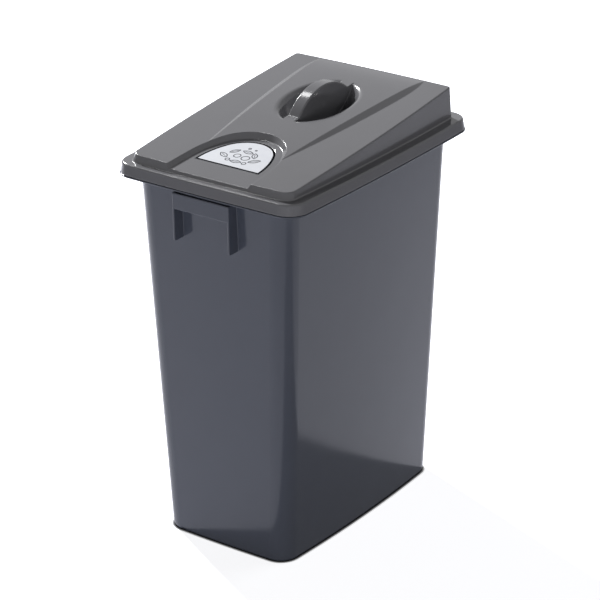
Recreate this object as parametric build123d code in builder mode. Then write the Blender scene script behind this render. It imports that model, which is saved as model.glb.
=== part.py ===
from build123d import *
from math import cos, radians, sin, tan
import os

# Free-standing recycling bin with a lift-off lid, in millimetres.
# The origin is on the floor under the middle of the bin, +Z is up and the label faces -Y.

# Bin shell, measured between the corners
bin_height = 594.4
base_width = 223.6
base_depth = 388.8
mouth_width = 276.6
mouth_depth = 423.3
base_corner = 30.0
mouth_corner = 32.0
base_side_bow = 7.5
mouth_side_bow = 5.0
end_bow = 2.1
wall = 2.8
floor_thickness = 3.2
floor_round = 9.0
foot_height = 3.0
foot_ring = 11.0
foot_round = 5.0

# Rim round the mouth, with a turned-down lip and a bead at the foot of the lip
rim_side = 26.7
rim_end = 17.4
rim_corner = 34.0
rim_side_bow = 4.6
rim_thickness = 2.5
rim_drop = 16.4
bead_height = 2.2
bead_proud = 0.8
bead_round = 0.7

# Carry-handle bracket under the rim on each narrow end
handle_width = 101.5
handle_proud = 2.45
cheek_thickness = 3.0
cheek_drop = 77.0
cheek_round = 2.5
bar_thickness = 3.2
bar_height = 24.8
bar_gap = 2.7
bar_round = 1.0

# Lid skirt and flange
lid_wall = 2.5
skirt_draft = 3.0
skirt_round = 3.0
skirt_foot_round = 0.8
seat_gap = 0.3
side_clearance = 0.8
bead_gap = 0.4

# Wedge-shaped hood, set in from the edge of the lid
hood_side_margin = 20.3
hood_front_margin = 15.4
hood_rear_margin = 24.2
hood_side_draft = 1.2
hood_front_draft = 4.55
hood_rear_draft = 3.15
hood_front_rise = 11.1
hood_rear_rise = 49.8
hood_side_bow = 5.0
hood_front_corner = 16.0
hood_rear_corner = 5.0
hood_edge_round = 1.6
hood_foot_round = 1.5

# Raised centre panel with a crowned back and sloping flanks, set back from the hood's front edge
panel_setback = 77.4
panel_rear_margin = 3.0
panel_peak_setback = 295.4
panel_rise = 5.0
panel_front_half = 65.3
panel_flare = 0.0925
panel_flank = 2.3
panel_root = 2.0
panel_recess_gap = 10.0
panel_stations = 9

# Recess with an arched back, open to the front
recess_depth = 6.0
arch_setback = 76.4
arch_radius = 60.0
haunch_radius = 133.0
haunch_angle = 28.0
flare_angle = 3.0
recess_lean = 35.0
recess_floor_round = 2.0

# Label in a shallow seat on the recess floor
label_margin = 11.5
label_setback = 39.4
label_thickness = 0.8
label_seat = 0.4
label_clearance = 0.3

# Oval grip bowl and the half-round fin across it
bowl_setback = 268.9
bowl_half_width = 49.5
bowl_half_length = 71.3
bowl_depth = 34.0
bowl_rim_round = 11.0
fin_thickness = 20.5
fin_half_length = 63.0
fin_rise = 31.0
fin_root = 4.3
fin_round = 1.8
fin_foot_round = 4.0
fin_core_end = 57.0

# Sizes and levels that follow from the sizes above
rim_width = mouth_width + 2 * rim_side
rim_depth = mouth_depth + 2 * rim_end
handle_reach = rim_depth / 2 + handle_proud
rim_bottom = bin_height - rim_drop
bar_top = rim_bottom - bar_gap
bar_bottom = bar_top - bar_height
cheek_bottom = rim_bottom - cheek_drop
skirt_bottom = rim_bottom + bead_height + bead_gap
flange_bottom = bin_height + seat_gap
flange_top = flange_bottom + lid_wall
lid_width = rim_width - 2 * bead_proud
lid_depth = rim_depth - 2 * bead_proud

# The hood's outline at its foot and at its top
hood_base_width = lid_width - 2 * hood_side_margin
hood_base_depth = lid_depth - hood_front_margin - hood_rear_margin
hood_base_shift = (hood_front_margin - hood_rear_margin) / 2
hood_top_width = hood_base_width - 2 * hood_side_draft
hood_top_depth = hood_base_depth - hood_front_draft - hood_rear_draft
hood_top_shift = hood_base_shift + (hood_front_draft - hood_rear_draft) / 2

# The sloping plane of the hood's top, on which a place is a distance from the hood's middle
hood_slope = (hood_rear_rise - hood_front_rise) / hood_top_depth
hood_mid_rise = (hood_rear_rise + hood_front_rise) / 2
slope_dir = Vector(0, 1, hood_slope).normalized()
slope_normal = Vector(0, -hood_slope, 1).normalized()
hood_length = hood_top_depth / slope_dir.Y
hood_plane = Plane(
    origin=(0, hood_top_shift, flange_top + hood_mid_rise),
    x_dir=(1, 0, 0),
    z_dir=slope_normal,
)
panel_front = panel_setback - hood_length / 2
panel_peak = panel_peak_setback - hood_length / 2
panel_rear = hood_length / 2 - panel_rear_margin
arch_centre = arch_setback - hood_length / 2
label_front = label_setback - hood_length / 2
bowl_centre = bowl_setback - hood_length / 2


def bowed_outline(plane, width, depth, side_bow, corner, rear_corner=None):
    """Rectangle with gently bulging sides and rounded corners, the rear ones as the front ones."""
    x = width / 2
    y = depth / 2
    with BuildSketch(plane) as outline:
        with BuildLine():
            ThreePointArc((x, -y), (x + side_bow, 0), (x, y))
            ThreePointArc((x, y), (0, y + end_bow), (-x, y))
            ThreePointArc((-x, y), (-x - side_bow, 0), (-x, -y))
            ThreePointArc((-x, -y), (0, -y - end_bow), (x, -y))
        make_face()
        fillet(outline.vertices().group_by(Axis.Y)[0], corner)
        fillet(outline.vertices().group_by(Axis.Y)[-1], rear_corner or corner)
    return outline.sketch


def between(low, high, height):
    """Size of the tapered shell at a height above the floor."""
    return low + (high - low) * height / bin_height


def shell_outline(height, inset):
    """Outline of the tapered shell at a height, moved inwards by a wall thickness."""
    return bowed_outline(
        Plane.XY.offset(height),
        between(base_width, mouth_width, height) - 2 * inset,
        between(base_depth, mouth_depth, height) - 2 * inset,
        between(base_side_bow, mouth_side_bow, height),
        between(base_corner, mouth_corner, height) - inset,
    )


def rim_outline(height, inset):
    """Outline of the rim at a height, moved inwards from the bead."""
    return bowed_outline(
        Plane.XY.offset(height),
        rim_width - 2 * inset,
        rim_depth - 2 * inset,
        rim_side_bow,
        rim_corner - inset,
    )


def polar(centre, radius, angle):
    """Point on a circle, with the angle in degrees from local +X."""
    return Vector(centre) + Vector(radius * cos(radians(angle)), radius * sin(radians(angle)))


def arch_outline(plane, margin, front):
    """Arch of a crown arc, two haunch arcs and two flared sides, closed by a straight front."""
    crown_centre = Vector(0, arch_centre)
    haunch_centre = polar(crown_centre, arch_radius - haunch_radius, haunch_angle)
    crown = arch_radius - margin
    haunch = haunch_radius - margin
    shoulder = polar(crown_centre, crown, haunch_angle)
    bend = polar(haunch_centre, haunch, (haunch_angle + flare_angle) / 2)
    spring = polar(haunch_centre, haunch, flare_angle)
    toe = Vector(spring.X + (spring.Y - front) * tan(radians(flare_angle)), front)
    with BuildSketch(plane) as outline:
        with BuildLine():
            ThreePointArc((-shoulder.X, shoulder.Y), (0, arch_centre + crown), shoulder)
            ThreePointArc(shoulder, bend, spring)
            Line(spring, toe)
            Line(toe, (-toe.X, front))
            Line((-toe.X, front), (-spring.X, spring.Y))
            ThreePointArc((-spring.X, spring.Y), (-bend.X, bend.Y), (-shoulder.X, shoulder.Y))
        make_face()
    return outline.sketch


def panel_height(place):
    """Rise of the centre panel over the hood's plane, quick to start and quicker to end."""
    if place < panel_peak:
        share = (panel_peak - place) / (panel_peak - panel_front)
        return panel_rise * (1 - share**2)
    share = (place - panel_peak) / (panel_rear - panel_peak)
    return panel_rise * (1 - share**4)


def panel_solid(inset, start):
    """Centre panel from a starting place to its rear, moved inwards by a thickness."""
    sections = []
    for station in range(panel_stations):
        place = start + (panel_rear - start) * station / (panel_stations - 1)
        rise = panel_height(place) - inset
        half = panel_front_half + panel_flare * (place - panel_front) - inset / 2
        root = -panel_root - inset
        station_plane = Plane(
            origin=hood_plane.from_local_coords((0, place, 0)),
            x_dir=(1, 0, 0),
            z_dir=-slope_dir,
        )
        foot = half + panel_flank * (rise - root)
        with BuildSketch(station_plane) as section:
            with BuildLine():
                Polyline((-foot, root), (foot, root), (half, rise), (-half, rise), close=True)
            make_face()
        sections.append(section.sketch)
    return loft(sections=sections, mode=Mode.PRIVATE)


def bowl_solid(growth):
    """Spheroid whose section by the hood's plane is the bowl's oval, grown by a thickness."""
    radius = (bowl_half_width**2 + bowl_depth**2) / (2 * bowl_depth)
    lift = radius - bowl_depth
    long_radius = bowl_half_length * radius / bowl_half_width
    centre = hood_plane.from_local_coords((0, bowl_centre, lift))
    profile_plane = Plane(origin=centre, x_dir=slope_dir, z_dir=slope_normal)
    with BuildPart() as bowl:
        with BuildSketch(profile_plane) as profile:
            Ellipse(long_radius + growth, radius + growth)
            Rectangle(
                2 * (long_radius + growth),
                radius + growth,
                align=(Align.CENTER, Align.MAX),
                mode=Mode.SUBTRACT,
            )
        revolve(axis=Axis(centre, slope_dir))
    return bowl.part


def on_bowl_rim(edge):
    """True for an edge of the grip bowl that lies in the raised panel."""
    spot = hood_plane.to_local_coords(edge.center())
    reach = bowl_half_length + bowl_rim_round
    near = abs(spot.X) < panel_front_half and abs(spot.Y - bowl_centre) < reach
    return near and 0 < spot.Z < panel_rise and edge.length > bowl_half_length


# Bin: rim first, then the shell, the brackets and the inside
bracket_side = Plane.YZ.offset(-handle_width / 2)
wall_depth = mouth_depth / 2 - wall
lip_inset = bead_proud + lid_wall + side_clearance

with BuildPart() as bracket:
    with BuildSketch(bracket_side) as cheek_profile:
        with BuildLine():
            Polyline(
                (-wall_depth + cheek_thickness, cheek_bottom),
                (-handle_reach, cheek_bottom),
                (-handle_reach, bar_top),
                (-rim_depth / 2 + lip_inset, bar_top),
                (-rim_depth / 2 + lip_inset, bin_height - rim_thickness),
                (-wall_depth + cheek_thickness, bin_height - rim_thickness),
                close=True,
            )
        make_face()
        front_foot = cheek_profile.vertices().group_by(Axis.Y)[0].sort_by(Axis.X)[0]
        fillet(front_foot, cheek_round)
    extrude(amount=cheek_thickness)
    mirror(about=Plane.YZ)
    with BuildSketch(Plane.XY.offset(bar_bottom)):
        with Locations((0, -handle_reach)):
            Rectangle(handle_width, bar_thickness, align=(Align.CENTER, Align.MIN))
    extrude(amount=bar_top - bar_bottom)
    bar_front = bracket.edges().filter_by(Axis.X).group_by(Axis.Y)[0]
    fillet(bar_front.filter_by_position(Axis.Z, bar_bottom, bar_top), bar_round)

with BuildPart() as cavity:
    inner_floor = foot_height + floor_thickness
    loft(sections=[shell_outline(inner_floor, wall), shell_outline(bin_height, wall)], ruled=True)
    fillet(cavity.edges().group_by(Axis.Z)[0], floor_round)

with BuildPart() as shell:
    loft(sections=[shell_outline(0, 0), shell_outline(bin_height, 0)], ruled=True)
    fillet(shell.edges().group_by(Axis.Z)[0], foot_round)

with BuildPart() as bead:
    extrude(rim_outline(rim_bottom, 0), amount=bead_height)
    fillet(bead.edges().group_by(Axis.Z)[0], bead_round)
    fillet(bead.edges().group_by(Axis.Z)[-1], bead_round)

with BuildPart() as bin_body:
    lip_top = rim_outline(bin_height, lip_inset + skirt_draft)
    loft(sections=[rim_outline(rim_bottom, lip_inset), lip_top], ruled=True)
    add(bead.part)
    channel_top = bin_height - rim_thickness
    channel_foot = rim_outline(rim_bottom, lip_inset + rim_thickness)
    channel_roof = rim_outline(channel_top, lip_inset + skirt_draft + rim_thickness)
    loft(sections=[channel_foot, channel_roof], ruled=True, mode=Mode.SUBTRACT)
    add(shell.part)
    add(bracket.part)
    add(bracket.part.mirror(Plane.XZ))
    add(cavity.part, mode=Mode.SUBTRACT)
    extrude(shell_outline(0, foot_ring), amount=foot_height, mode=Mode.SUBTRACT)

# Lid: skirt and hood, then the panel, the inside, the recess and the grip
with BuildPart() as hollow:
    inner_skirt_foot = bowed_outline(
        Plane.XY.offset(skirt_bottom),
        lid_width - 2 * lid_wall,
        lid_depth - 2 * lid_wall,
        rim_side_bow,
        rim_corner - bead_proud - lid_wall,
    )
    inner_skirt_top = bowed_outline(
        Plane.XY.offset(flange_bottom),
        lid_width - 2 * (skirt_draft + lid_wall),
        lid_depth - 2 * (skirt_draft + lid_wall),
        rim_side_bow,
        rim_corner - bead_proud - skirt_draft - lid_wall,
    )
    loft(sections=[inner_skirt_foot, inner_skirt_top], ruled=True)
    inner_hood_base = bowed_outline(
        Plane((0, hood_base_shift, flange_bottom)),
        hood_base_width - 2 * lid_wall,
        hood_base_depth - 2 * lid_wall,
        hood_side_bow,
        hood_front_corner - lid_wall,
        hood_rear_corner - lid_wall,
    )
    inner_hood_top = bowed_outline(
        hood_plane.offset(-lid_wall),
        hood_top_width - 2 * lid_wall,
        hood_length - 2 * lid_wall,
        hood_side_bow,
        hood_front_corner - lid_wall,
        hood_rear_corner - lid_wall,
    )
    loft(sections=[inner_hood_base, inner_hood_top], ruled=True)
    add(panel_solid(lid_wall, arch_centre + arch_radius + panel_recess_gap))
    add(bowl_solid(lid_wall), mode=Mode.SUBTRACT)
    bowl_shoulder = hollow.edges().filter_by(on_bowl_rim)
    fillet(bowl_shoulder, bowl_rim_round - lid_wall)

fin_radius = (fin_half_length**2 + (fin_rise - fin_root) ** 2) / (2 * (fin_rise - fin_root))
fin_hub = fin_rise - fin_radius


def fin_plane(side):
    """Upright plane through the fin's arc centre, at a distance from the middle of the lid."""
    hub = hood_plane.from_local_coords((side, bowl_centre, fin_hub))
    return Plane(origin=hub, x_dir=slope_dir, z_dir=(1, 0, 0))


with BuildPart() as fin:
    root_level = fin_root - fin_hub
    fin_end = fin_half_length + fin_foot_round
    with BuildSketch(fin_plane(-fin_thickness / 2)) as fin_profile:
        Circle(fin_radius)
        with Locations((0, root_level)):
            Rectangle(
                4 * fin_radius, 2 * fin_radius, align=(Align.CENTER, Align.MAX), mode=Mode.SUBTRACT
            )
        with Locations((0, root_level)):
            Rectangle(2 * fin_end, fin_root + lid_wall, align=(Align.CENTER, Align.MAX))
        feet = fin_profile.vertices().group_by(Axis.Y)[-1]
        fillet(feet.sort_by(Axis.X)[1:-1], fin_foot_round)
    extrude(amount=fin_thickness)
    fillet(fin.edges().filter_by(GeomType.CIRCLE), fin_round)

with BuildPart() as fin_core:
    with BuildSketch(fin_plane(lid_wall - fin_thickness / 2)):
        Circle(fin_radius - lid_wall)
        with Locations((0, -fin_hub - bowl_depth - 2 * lid_wall)):
            Rectangle(
                2 * fin_core_end,
                2 * fin_radius,
                align=(Align.CENTER, Align.MIN),
                mode=Mode.INTERSECT,
            )
    extrude(amount=fin_thickness - 2 * lid_wall)

with BuildPart() as strip:
    with BuildSketch(hood_plane.offset(-2 * bowl_depth)):
        with Locations((0, bowl_centre)):
            Rectangle(fin_thickness, 2 * (bowl_half_length + bowl_rim_round))
    extrude(amount=4 * bowl_depth)

with BuildPart() as hood:
    hood_base = bowed_outline(
        Plane((0, hood_base_shift, flange_top)),
        hood_base_width,
        hood_base_depth,
        hood_side_bow,
        hood_front_corner,
        hood_rear_corner,
    )
    hood_top = bowed_outline(
        hood_plane,
        hood_top_width,
        hood_length,
        hood_side_bow,
        hood_front_corner,
        hood_rear_corner,
    )
    loft(sections=[hood_base, hood_top], ruled=True)

with BuildPart() as pan:
    add(hood.part)
    hood_front = -hood_length / 2 - lid_wall
    pan_floor = arch_outline(hood_plane.offset(-recess_depth - lid_wall), -lid_wall, hood_front)
    extrude(
        pan_floor, amount=recess_depth + lid_wall / 2, taper=-recess_lean, mode=Mode.INTERSECT
    )

with BuildPart() as recess:
    recess_front = hood_front - hood_front_corner
    recess_floor = arch_outline(hood_plane.offset(-recess_depth), 0, recess_front)
    extrude(recess_floor, amount=2 * recess_depth, taper=-recess_lean)
    floor_face = recess.faces().filter_by(hood_plane).sort_by(Axis.Z)[0]
    fillet(floor_face.edges().sort_by(Axis.Y)[1:], recess_floor_round)

with BuildPart() as blank:
    skirt_foot = bowed_outline(
        Plane.XY.offset(skirt_bottom), lid_width, lid_depth, rim_side_bow, rim_corner - bead_proud
    )
    skirt_top = bowed_outline(
        Plane.XY.offset(flange_top),
        lid_width - 2 * skirt_draft,
        lid_depth - 2 * skirt_draft,
        rim_side_bow,
        rim_corner - bead_proud - skirt_draft,
    )
    loft(sections=[skirt_foot, skirt_top], ruled=True)
    fillet(blank.edges().group_by(Axis.Z)[-1], skirt_round)
    fillet(blank.edges().group_by(Axis.Z)[0], skirt_foot_round)
    add(hood.part)
    top_face = blank.faces().sort_by(Axis.Z)[-1]
    fillet(top_face.edges(), hood_edge_round)
    hood_foot = blank.edges().filter_by_position(Axis.Z, flange_top, flange_top)
    foot_reach = hood_base_width / 2 + hood_side_bow
    hood_foot = hood_foot.filter_by_position(Axis.X, -foot_reach, foot_reach)
    foot_front = hood_base_shift - hood_base_depth / 2 - end_bow
    foot_rear = hood_base_shift + hood_base_depth / 2 + end_bow
    fillet(hood_foot.filter_by_position(Axis.Y, foot_front, foot_rear), hood_foot_round)
    add(panel_solid(0, panel_front))

with BuildPart() as web:
    add(blank.part)
    add(strip.part, mode=Mode.INTERSECT)
    add(fin.part)

with BuildPart() as lid:
    add(blank.part)
    add(bowl_solid(0), mode=Mode.SUBTRACT)
    fillet(lid.edges().filter_by(on_bowl_rim), bowl_rim_round)
    add(strip.part, mode=Mode.SUBTRACT)
    add(web.part)
    add(hollow.part, mode=Mode.SUBTRACT)
    add(fin_core.part, mode=Mode.SUBTRACT)
    add(pan.part)
    add(recess.part, mode=Mode.SUBTRACT)
    seat = arch_outline(
        hood_plane.offset(-recess_depth),
        label_margin - label_clearance,
        label_front - label_clearance,
    )
    extrude(seat, amount=-label_seat, mode=Mode.SUBTRACT)

with BuildPart() as label:
    label_plane = hood_plane.offset(-recess_depth - label_seat)
    extrude(arch_outline(label_plane, label_margin, label_front), amount=label_thickness)

os.makedirs("parts", exist_ok=True)
bin_body.part.label = "bin_body"
export_step(bin_body.part, "parts/bin_body.step")
lid.part.label = "lid"
export_step(lid.part, "parts/lid.step")
label.part.label = "label"
export_step(label.part, "parts/label.step")
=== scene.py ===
# %% [markdown]
# # A recycling bin with a lift-off lid
#
# The real bin is two big injection mouldings and one printed label: a tall tapered body, a
# wedge-shaped lid with a grip sunk into it, and a pale film in a recess near the front edge.
# The shapes come from the CAD model, so this lesson is about what the eye reads on top of
# them: two grey plastics that differ only a little, a soft moulded grain, and the light.
# Lengths are in metres, except where a name or a comment says mm.

import math

import bmesh
import bpy
from mathutils import Matrix, Vector


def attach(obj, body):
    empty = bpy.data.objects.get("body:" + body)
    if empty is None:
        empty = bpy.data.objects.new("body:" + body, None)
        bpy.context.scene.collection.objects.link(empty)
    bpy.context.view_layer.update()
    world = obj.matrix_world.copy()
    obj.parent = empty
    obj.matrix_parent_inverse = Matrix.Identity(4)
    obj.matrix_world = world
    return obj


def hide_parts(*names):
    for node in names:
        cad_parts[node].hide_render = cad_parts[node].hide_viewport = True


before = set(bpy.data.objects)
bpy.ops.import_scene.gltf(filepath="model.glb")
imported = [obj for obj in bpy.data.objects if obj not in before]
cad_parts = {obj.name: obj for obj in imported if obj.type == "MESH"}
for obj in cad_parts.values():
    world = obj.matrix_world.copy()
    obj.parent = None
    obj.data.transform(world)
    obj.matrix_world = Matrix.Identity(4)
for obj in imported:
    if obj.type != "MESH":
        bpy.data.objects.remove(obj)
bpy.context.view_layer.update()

# %% [markdown]
# ## The camera
#
# A bin this tall is photographed from a little above and from a distance, so that its sides
# stay nearly straight. A long lens, far away, gives that. The camera could be aimed with a
# constraint, but three angles say the same thing and keep the small tilt of the picture.

# %% Place the camera
CAMERA_PLACE = Vector((2.2042, -2.9985, 1.9915))
CAMERA_TURN = math.radians(36.27)
CAMERA_TIP = math.radians(24.0)
CAMERA_ROLL = math.radians(-0.80)
SENSOR_MM = 36.0
FOCAL_PIXELS = 2680.8
PICTURE_PIXELS = 600
NEAR_LIMIT = 0.1
FAR_LIMIT = 60.0

lens = bpy.data.cameras.new("long_lens")
lens.sensor_width = SENSOR_MM
lens.lens = FOCAL_PIXELS * SENSOR_MM / PICTURE_PIXELS
lens.clip_start = NEAR_LIMIT
lens.clip_end = FAR_LIMIT
camera = bpy.data.objects.new("camera", lens)
turn = Matrix.Rotation(CAMERA_TURN, 4, "Z")
tip = Matrix.Rotation(math.pi / 2 - CAMERA_TIP, 4, "X")
roll = Matrix.Rotation(CAMERA_ROLL, 4, "Z")
camera.matrix_world = Matrix.Translation(CAMERA_PLACE) @ turn @ tip @ roll
bpy.context.scene.collection.objects.link(camera)
bpy.context.scene.camera = camera
bpy.context.scene.view_settings.view_transform = "Standard"
print("lens mm", round(lens.lens, 2))

# %% [markdown]
# ## Small helpers for materials
#
# Colours are written the way a colour picker shows them, as sRGB hex, and turned to linear
# light in one place. A material is a handful of nodes, so one function adds a node with its
# settings and links. Everything else is said where it is used.


# %% Colour and node helpers
def linear(hex_colour):
    """Linear RGBA of an sRGB hex colour."""
    channels = [int(hex_colour[i : i + 2], 16) / 255 for i in (1, 3, 5)]
    return [c / 12.92 if c <= 0.04045 else ((c + 0.055) / 1.055) ** 2.4 for c in channels] + [1.0]


def node(tree, kind, inputs=None, **settings):
    """Adds a node; inputs maps a socket's name or number to a value or to another socket."""
    made = tree.nodes.new(kind)
    for name, value in settings.items():
        setattr(made, name, value)
    for name, value in (inputs or {}).items():
        if isinstance(value, bpy.types.NodeSocket):
            tree.links.new(value, made.inputs[name])
        else:
            made.inputs[name].default_value = value
    return made


def new_material(name):
    """An empty material, its node tree and its output node."""
    material = bpy.data.materials.new(name)
    material.use_nodes = True
    material.node_tree.nodes.clear()
    output = node(material.node_tree, "ShaderNodeOutputMaterial")
    return material, material.node_tree, output


# A Mix node has several sockets of one name, so those for colours go by their numbers
MIX_FACTOR, MIX_FIRST, MIX_SECOND, MIX_RESULT = 0, 6, 7, 2
print("mid grey #808080 is", round(linear("#808080")[0], 3), "in linear light")

# %% [markdown]
# ## Moulded polypropylene
#
# Both mouldings are polypropylene, coloured right through and moulded against a polished or
# lightly blasted steel tool. To the eye that is a satin plastic: it mirrors the floor and the
# lamps softly, its colour clouds by a shade or two, thick walls sink in slow waves, and edges
# are rounded just enough to catch a thin line of light. Bins are stacked in each other, which
# leaves long upright rub marks. All of it could be painted on a picture, but a few noises on
# object coordinates never stretch and need no unwrapping.
#
# The tool's grain is about 0.3 mm, too fine for the picture, and is drawn at 2.4 mm.

# %% Injection-moulded polypropylene
POLYPROPYLENE_IOR = 1.49
GRAIN_MM = 2.4
CLOUD_MM = 60.0
SINK_MM = 140.0
RUB_MM = 9.0
RUB_STRETCH = 0.05
EDGE_MM = 2.2
EDGE_SAMPLES = 8


def moulded_polypropylene(name, colour, dark, roughness, rubbed, grain_height_mm, sink_height_mm):
    """Satin moulded plastic with rounded edges, grain, sink waves, clouds and rub marks."""
    material, tree, output = new_material(name)
    place = node(tree, "ShaderNodeTexCoord").outputs["Object"]
    clouds = node(
        tree,
        "ShaderNodeTexNoise",
        {"Vector": place, "Scale": 1000 / CLOUD_MM, "Detail": 3.0, "Roughness": 0.55},
    )
    tint = node(
        tree,
        "ShaderNodeMix",
        {MIX_FACTOR: clouds.outputs["Fac"], MIX_FIRST: linear(dark), MIX_SECOND: linear(colour)},
        data_type="RGBA",
    )
    edge = node(tree, "ShaderNodeBevel", {"Radius": EDGE_MM / 1000}, samples=EDGE_SAMPLES)
    sink = node(
        tree,
        "ShaderNodeTexNoise",
        {"Vector": place, "Scale": 1000 / SINK_MM, "Detail": 1.0, "Roughness": 0.4},
    )
    waves = node(
        tree,
        "ShaderNodeBump",
        {
            "Height": sink.outputs["Fac"],
            "Distance": sink_height_mm / 1000,
            "Strength": 1.0,
            "Normal": edge.outputs["Normal"],
        },
    )
    grain = node(
        tree,
        "ShaderNodeTexNoise",
        {"Vector": place, "Scale": 1000 / GRAIN_MM, "Detail": 2.0, "Roughness": 0.6},
    )
    pebble = node(
        tree,
        "ShaderNodeBump",
        {
            "Height": grain.outputs["Fac"],
            "Distance": grain_height_mm / 1000,
            "Strength": 1.0,
            "Normal": waves.outputs["Normal"],
        },
    )
    upright = node(tree, "ShaderNodeMapping", {"Vector": place, "Scale": (1, 1, RUB_STRETCH)})
    rubs = node(
        tree,
        "ShaderNodeTexNoise",
        {"Vector": upright.outputs["Vector"], "Scale": 1000 / RUB_MM, "Detail": 2.0},
    )
    sheen = node(
        tree,
        "ShaderNodeMapRange",
        {
            "Value": rubs.outputs["Fac"],
            "From Min": 0.0,
            "From Max": 1.0,
            "To Min": roughness - rubbed,
            "To Max": roughness + rubbed,
        },
    )
    plastic = node(
        tree,
        "ShaderNodeBsdfPrincipled",
        {
            "Base Color": tint.outputs[MIX_RESULT],
            "Roughness": sheen.outputs["Result"],
            "IOR": POLYPROPYLENE_IOR,
            "Normal": pebble.outputs["Normal"],
        },
    )
    tree.links.new(plastic.outputs["BSDF"], output.inputs["Surface"])
    return material


print("grain of", GRAIN_MM, "mm, clouds of", CLOUD_MM, "mm, edges rounded to", EDGE_MM, "mm")

# %% [markdown]
# ## One plastic, two mouldings
#
# The lid is a plain mid grey, and the body is darker, bluer and a little glossier, with a
# lower grain. They could be two materials built apart, but the plastic is the same, so one
# recipe with two sets of numbers keeps them alike in everything else.

# %% The two mouldings
lid_plastic = moulded_polypropylene(
    "moulded_polypropylene_lid",
    colour="#6e6e72",
    dark="#6a6a6d",
    roughness=0.16,
    rubbed=0.03,
    grain_height_mm=0.02,
    sink_height_mm=0.25,
)
bin_plastic = moulded_polypropylene(
    "moulded_polypropylene_bin",
    colour="#4b4f5a",
    dark="#484c57",
    roughness=0.13,
    rubbed=0.03,
    grain_height_mm=0.012,
    sink_height_mm=0.3,
)
for name, plastic in (("lid", lid_plastic), ("bin_body", bin_plastic)):
    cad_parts[name].data.materials.clear()
    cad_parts[name].data.materials.append(plastic)
    print(name, "is", plastic.name)

# %% [markdown]
# ## The label's film
#
# The label is a polyester film with a pale print, a little glossy, and never quite flat once
# it is rubbed down by hand. So it mirrors the room softly and a little unevenly. The waves
# could be modelled, but they are far too shallow to show in the outline, so a bump is enough.

# %% Printed polyester film
POLYESTER_IOR = 1.57
FILM_ROUGHNESS = 0.3
FILM_CLOUD_MM = 14.0
FILM_WAVE_HEIGHT_MM = 0.06

film, film_tree, film_output = new_material("printed_polyester_film")
film_place = node(film_tree, "ShaderNodeTexCoord").outputs["Object"]
film_clouds = node(
    film_tree,
    "ShaderNodeTexNoise",
    {"Vector": film_place, "Scale": 1000 / FILM_CLOUD_MM, "Detail": 4.0},
)
film_tint = node(
    film_tree,
    "ShaderNodeMix",
    {
        MIX_FACTOR: film_clouds.outputs["Fac"],
        MIX_FIRST: linear("#d7dae2"),
        MIX_SECOND: linear("#e3e5ea"),
    },
    data_type="RGBA",
)
film_wave = node(
    film_tree,
    "ShaderNodeBump",
    {
        "Height": film_clouds.outputs["Fac"],
        "Distance": FILM_WAVE_HEIGHT_MM / 1000,
        "Strength": 1.0,
    },
)
film_shader = node(
    film_tree,
    "ShaderNodeBsdfPrincipled",
    {
        "Base Color": film_tint.outputs[MIX_RESULT],
        "Roughness": FILM_ROUGHNESS,
        "IOR": POLYESTER_IOR,
        "Normal": film_wave.outputs["Normal"],
    },
)
film_tree.links.new(film_shader.outputs["BSDF"], film_output.inputs["Surface"])
print(film.name, "with waves", FILM_WAVE_HEIGHT_MM, "mm high and", FILM_CLOUD_MM, "mm long")

# %% [markdown]
# ## The inks
#
# The inks are screen printed and dry matt, and lie a little unevenly. A high roughness alone
# would make them matt from above, but the label is seen at a low angle, where even a rough
# surface mirrors the white room and turns a black line grey. So they mirror nothing at all.

# %% Screen-printing inks
INK_ROUGHNESS = 0.7


def printing_ink(name, colour, faded):
    """Matt screen-printing ink, a little uneven where the film took less of it."""
    material, tree, output = new_material(name)
    place = node(tree, "ShaderNodeTexCoord").outputs["Object"]
    speckle = node(
        tree, "ShaderNodeTexNoise", {"Vector": place, "Scale": 1000 / GRAIN_MM, "Detail": 2.0}
    )
    tint = node(
        tree,
        "ShaderNodeMix",
        {MIX_FACTOR: speckle.outputs["Fac"], MIX_FIRST: linear(colour), MIX_SECOND: linear(faded)},
        data_type="RGBA",
    )
    ink = node(
        tree,
        "ShaderNodeBsdfPrincipled",
        {
            "Base Color": tint.outputs[MIX_RESULT],
            "Roughness": INK_ROUGHNESS,
            "Specular IOR Level": 0.0,
        },
    )
    tree.links.new(ink.outputs["BSDF"], output.inputs["Surface"])
    return material


border_ink = printing_ink("black_screen_ink", "#0a0a0d", "#141519")
drawing_ink = printing_ink("grey_screen_ink", "#2f3138", "#55575f")
print("inks", border_ink.name, drawing_ink.name)

# %% [markdown]
# ## The label and its border
#
# The film is stuck in its seat in the recess, with a thin black line printed round it. The
# line could be drawn by a shader, but it follows the film's outline, and an inset of the
# film's own top face does that exactly. So a copy of the CAD film has its loose triangles
# joined and its top face inset, and takes the film's place.

# %% Film with its border
BORDER_MM = 3.2
SAME_PLACE_MM = 0.001
FLAT_RADIANS = 0.001


def finished_piece(name, form, materials):
    """Puts a form in an object of its own, at the origin, with its materials."""
    mesh = bpy.data.meshes.new(name)
    form.to_mesh(mesh)
    form.free()
    for material in materials:
        mesh.materials.append(material)
    piece = bpy.data.objects.new(name, mesh)
    bpy.context.scene.collection.objects.link(piece)
    return piece


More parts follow.
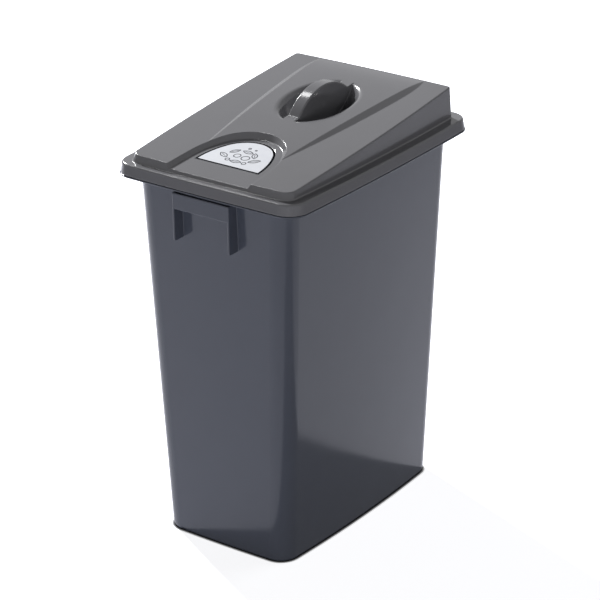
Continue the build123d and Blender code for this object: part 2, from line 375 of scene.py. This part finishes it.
film_form = bmesh.new()
film_form.from_mesh(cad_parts["label"].data)
bmesh.ops.remove_doubles(film_form, verts=film_form.verts, dist=SAME_PLACE_MM / 1000)
bmesh.ops.dissolve_limit(
    film_form, angle_limit=FLAT_RADIANS, verts=film_form.verts, edges=film_form.edges
)
top = max(film_form.faces, key=lambda face: face.calc_area() * face.normal.z)
label_up = top.normal.copy()
label_middle = top.calc_center_bounds()
border = bmesh.ops.inset_region(
    film_form, faces=[top], thickness=BORDER_MM / 1000, use_even_offset=True
)
for face in border["faces"]:
    face.material_index = 1
print("border of", BORDER_MM, "mm in", len(border["faces"]), "faces")
label_film = finished_piece("label_film", film_form, [film, border_ink])
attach(label_film, "lid")
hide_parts("label")

# %% [markdown]
# ## The drawing on the label
#
# The film carries a small grey line drawing, of a few leaves and rings scattered over the
# middle. A picture file would blur when the camera comes close, so each motif is a line of
# ink with a real width: a circle is drawn out to a leaf or left round, inset by the width of
# the line, and opened in the middle. Each leaf also gets a straight vein.

# %% Leaves and rings in grey ink
LINE_MM = 1.3
MOTIF_CORNERS = 28
LEAF_POINTED = 0.55
VEIN_WIDTH = 0.6
VEIN_LENGTH = 1.1
# mm across, mm up the slope, half length in mm, width against length, turn in degrees
LEAVES = [
    (-27, -13, 10, 0.50, 62),
    (-19, 4, 9, 0.50, -38),
    (1, 9, 10, 0.46, 84),
    (17, 3, 9, 0.52, 28),
    (27, -12, 10, 0.48, -50),
    (2, -24, 10, 0.46, 96),
]
# mm across, mm up the slope, radius in mm
RINGS = [(-7, -7, 6.0), (9, -9, 7.0), (-13, -23, 4.0), (17, -24, 4.0), (-4, 20, 2.6), (8, 19, 2.0)]


def motif(form, across, along, radius, squeeze=1, turn_degrees=0):
    """A closed line of ink, sized in mm: a ring, or below a squeeze of one a leaf with a vein."""
    circle = bmesh.ops.create_circle(
        form, cap_ends=True, segments=MOTIF_CORNERS, radius=radius / 1000
    )
    blade = circle["verts"][0].link_faces[0]
    if squeeze < 1:
        for corner in circle["verts"]:
            near_tip = (corner.co.y * 1000 / radius) ** 2
            corner.co.x *= squeeze * (1 - LEAF_POINTED * near_tip)
    line = bmesh.ops.inset_region(
        form, faces=[blade], thickness=LINE_MM / 1000, use_boundary=True, use_even_offset=True
    )
    corners = {corner for face in line["faces"] for corner in face.verts}
    bmesh.ops.delete(form, geom=[blade], context="FACES_ONLY")
    if squeeze < 1:
        # A grid's size is half its side, so this is a square with a side of one
        vein = bmesh.ops.create_grid(form, x_segments=1, y_segments=1, size=0.5)["verts"]
        vein_size = (LINE_MM * VEIN_WIDTH / 1000, radius * VEIN_LENGTH / 1000, 1)
        bmesh.ops.scale(form, verts=vein, vec=vein_size)
        corners.update(vein)
    place = Matrix.Translation((across / 1000, along / 1000, 0))
    spin = Matrix.Rotation(math.radians(turn_degrees), 4, "Z")
    bmesh.ops.transform(form, matrix=place @ spin, verts=list(corners))


drawing_form = bmesh.new()
for leaf in LEAVES:
    motif(drawing_form, *leaf)
for ring in RINGS:
    motif(drawing_form, *ring)
print(len(LEAVES), "leaves and", len(RINGS), "rings, in lines of", LINE_MM, "mm")

# %% [markdown]
# ## Ink on a slope
#
# Printed ink is a thin raised layer on the film, and the film slopes with the lid. The flat
# drawing is given the thickness of the ink, tilted and laid on the film. The tilt could be
# the object's own rotation, but a piece keeps its place in its mesh, so that the pattern on
# its coordinates stays put.

# %% Lay the drawing on the film
INK_MM = 0.06

bmesh.ops.recalc_face_normals(drawing_form, faces=drawing_form.faces)
bmesh.ops.solidify(drawing_form, geom=drawing_form.faces, thickness=-INK_MM / 1000)
across_axis = Vector((1, 0, 0))
along_axis = label_up.cross(across_axis)
tilt = Matrix((across_axis, along_axis, label_up)).transposed().to_4x4()
bmesh.ops.transform(
    drawing_form,
    matrix=Matrix.Translation(label_middle + label_up * INK_MM / 1000) @ tilt,
    verts=drawing_form.verts,
)
bmesh.ops.recalc_face_normals(drawing_form, faces=drawing_form.faces)
label_drawing = finished_piece("label_drawing", drawing_form, [drawing_ink])
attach(label_drawing, "lid")
print("drawing has", len(label_drawing.data.polygons), "faces, in ink", INK_MM, "mm thick")

# %% [markdown]
# ## A white that isn't light
#
# The background is a bright, even white. Lamps could light the floor up to white, but they
# would also bleach the plastic. So the floor and the room are simply white to the rays that
# come from the camera, and part of that white also shows in reflections, where satin plastic
# shows the room as much as its own colour.


# %% White for the camera
def seen_white(tree, in_gloss):
    """One for rays from the camera or through clear pieces, less for reflections, else zero."""
    ray = node(tree, "ShaderNodeLightPath")
    mirrored = node(
        tree,
        "ShaderNodeMath",
        {0: ray.outputs["Is Glossy Ray"], 1: in_gloss, 2: ray.outputs["Is Camera Ray"]},
        operation="MULTIPLY_ADD",
    )
    through = node(
        tree,
        "ShaderNodeMath",
        {0: mirrored.outputs[0], 1: ray.outputs["Is Transmission Ray"]},
        operation="MAXIMUM",
    )
    return through.outputs[0]


FLOOR_SEEN_IN_GLOSS = 0.15
floor_paint, floor_tree, floor_output = new_material("matt_white_sweep")
camera_white = seen_white(floor_tree, FLOOR_SEEN_IN_GLOSS)
print(floor_paint.name, "shows", FLOOR_SEEN_IN_GLOSS, "of its white in reflections")

# %% [markdown]
# ## The floor
#
# The bin stands on a pale sweep. Its upright walls mirror the lit floor, and low on the right
# they mirror the bin's own shadow, which is the dark wedge there. So besides its white for
# the camera, the floor is a matt surface that the lamps really light.
#
# Where the bin touches the floor almost no light gets in, which leaves a thin dark line round
# the foot. Shadow alone leaves it grey, because the white for the camera has no shadow. So
# that line is painted shade: the paint and the white both fade where Ambient Occlusion finds
# the bin a few millimetres away.

# %% Floor
FLOOR_HALF = 9.0
FLOOR_GLOW = 0.82
CONTACT_MM = 5.0
CONTACT_DARK = 4.0
CONTACT_SAMPLES = 8

contact = node(
    floor_tree,
    "ShaderNodeAmbientOcclusion",
    {"Distance": CONTACT_MM / 1000},
    samples=CONTACT_SAMPLES,
)
# Painted contact shadow: the floor's paint and its white fade to black close to the bin's foot
painted_contact_shade = node(
    floor_tree, "ShaderNodeMath", {0: contact.outputs["AO"], 1: CONTACT_DARK}, operation="POWER"
)
paint = node(
    floor_tree,
    "ShaderNodeMix",
    {
        MIX_FACTOR: painted_contact_shade.outputs[0],
        MIX_FIRST: linear("#000000"),
        MIX_SECOND: linear("#ebecf6"),
    },
    data_type="RGBA",
)
matt = node(floor_tree, "ShaderNodeBsdfDiffuse", {"Color": paint.outputs[MIX_RESULT]})
open_floor = node(
    floor_tree, "ShaderNodeMath", {0: camera_white, 1: painted_contact_shade.outputs[0]}, operation="MULTIPLY"
)
nothing = node(floor_tree, "ShaderNodeEmission", {"Color": (0, 0, 0, 1), "Strength": 0.0})
glow = node(floor_tree, "ShaderNodeEmission", {"Color": (1, 1, 1, 1), "Strength": FLOOR_GLOW})
shown = node(
    floor_tree,
    "ShaderNodeMixShader",
    {0: open_floor.outputs[0], 1: nothing.outputs[0], 2: glow.outputs[0]},
)
both = node(floor_tree, "ShaderNodeAddShader", {0: matt.outputs[0], 1: shown.outputs[0]})
floor_tree.links.new(both.outputs[0], floor_output.inputs["Surface"])

floor_form = bmesh.new()
bmesh.ops.create_grid(floor_form, x_segments=1, y_segments=1, size=FLOOR_HALF)
floor = finished_piece("floor", floor_form, [floor_paint])
print("floor", 2 * FLOOR_HALF, "m across, with a contact line of", CONTACT_MM, "mm")

# %% [markdown]
# ## The lamps
#
# Four lamps do four jobs. The key stands to the left, a little behind the bin, and is small,
# so that it throws the clear shadow that the right wall mirrors. The lamp above it gives
# little light, but the round top of the grip mirrors it as a bright band. A broad fill in
# front lifts the shaded walls, and is left out of reflections, where it would draw a white
# stripe down the near corner of the lid. The last one hangs over the floor behind the bin on
# the right, and brightens the floor that the right wall mirrors. One big lamp could light it
# all, but then the walls would show no shape.

# %% Softboxes
BIN_MIDDLE = Vector((0.0, 0.0, 0.4))
BEHIND_RIGHT = Vector((0.9, 1.1, 0.0))
LAMP_FAR = 3.6
FLOOR_LAMP_HIGH = 1.6


def around(turn_degrees, rise_degrees):
    """A place far from the bin, at a turn off its front and a rise above its middle."""
    turned, rise = math.radians(turn_degrees), math.radians(rise_degrees)
    level = Vector((-math.sin(turned), -math.cos(turned), 0)) * math.cos(rise)
    return BIN_MIDDLE + (level + Vector((0, 0, math.sin(rise)))) * LAMP_FAR


def softbox(name, place, aim, side, watts, mirrored=True):
    """A square area light at a place, facing its aim."""
    lamp = bpy.data.lights.new(name, "AREA")
    lamp.shape = "SQUARE"
    lamp.size = side
    lamp.energy = watts
    lamp_object = bpy.data.objects.new(name, lamp)
    facing = (aim - place).to_track_quat("-Z", "Y").to_matrix().to_4x4()
    lamp_object.matrix_world = Matrix.Translation(place) @ facing
    lamp_object.visible_camera = False
    lamp_object.visible_glossy = mirrored
    bpy.context.scene.collection.objects.link(lamp_object)
    print(name, [round(c, 2) for c in place], watts, "W")


softbox("key", around(114, 33), BIN_MIDDLE, side=0.3, watts=214)
softbox("left_top_lamp", around(114, 54), BIN_MIDDLE, side=0.5, watts=12)
softbox("front_fill", around(330, 8), BIN_MIDDLE, side=1.0, watts=38, mirrored=False)
above_floor = BEHIND_RIGHT + Vector((0, 0, FLOOR_LAMP_HIGH))
softbox("floor_lamp", above_floor, BEHIND_RIGHT, side=1.0, watts=5, mirrored=False)

# %% [markdown]
# ## The room
#
# Round the bin is a pale room. Its real light is faint and only keeps the deepest corners from
# going black. Most of its white shows in reflections, which lays a soft veil on the slopes of
# the lid. A picture of a room could do this too, but a plain one has nothing in it to
# recognise in the plastic.

# %% Room
ROOM_LIGHT = 0.038
ROOM_SEEN_IN_GLOSS = 0.65
ROOM_WHITE = "#fdfdff"

world = bpy.data.worlds.new("studio")
bpy.context.scene.world = world
world.use_nodes = True
room_tree = world.node_tree
room_tree.nodes.clear()
room = node(room_tree, "ShaderNodeBackground", {"Color": (1, 1, 1, 1), "Strength": ROOM_LIGHT})
white = node(room_tree, "ShaderNodeBackground", {"Color": linear(ROOM_WHITE), "Strength": 1.0})
mixed = node(
    room_tree,
    "ShaderNodeMixShader",
    {0: seen_white(room_tree, ROOM_SEEN_IN_GLOSS), 1: room.outputs[0], 2: white.outputs[0]},
)
node(room_tree, "ShaderNodeOutputWorld", {"Surface": mixed.outputs[0]})
print("room light", ROOM_LIGHT, "and", ROOM_SEEN_IN_GLOSS, "of its white in reflections")
